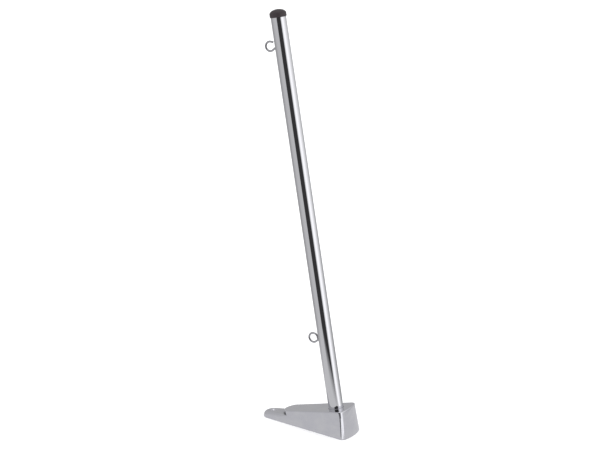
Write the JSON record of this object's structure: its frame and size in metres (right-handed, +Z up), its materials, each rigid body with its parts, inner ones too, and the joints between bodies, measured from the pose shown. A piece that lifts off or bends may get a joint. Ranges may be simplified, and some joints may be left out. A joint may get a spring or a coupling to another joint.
{
  "type": "boat deck flagstaff",
  "caption": "Polished tubular flagstaff raked in a wedge-shaped deck base, with a domed plastic end cap, an open wire hook near the top and a closed wire eye near the foot.",
  "frame": {"origin": "the point where the staff's axis meets the deck, on the flat underside of the base's socket boss", "axes": "+Z up from the deck; +X along the base to its heel, so the tongue and the staff's lean are towards -X; +Y across the base"},
  "size_m": [0.1744, 0.056, 0.6029],
  "materials": {
    "polished_casting": "polished cast stainless steel, softly mirror-bright",
    "polished_tube": "mirror-polished stainless tube",
    "black_plastic": "moulded black plastic, satin",
    "polished_wire": "polished stainless wire"
  },
  "bodies": {
    "root": {"base_casting": "polished_casting", "staff_tube": "polished_tube", "end_cap": "black_plastic", "upper_hook": "polished_wire", "lower_eye": "polished_wire"}
  },
  "joints": []
}
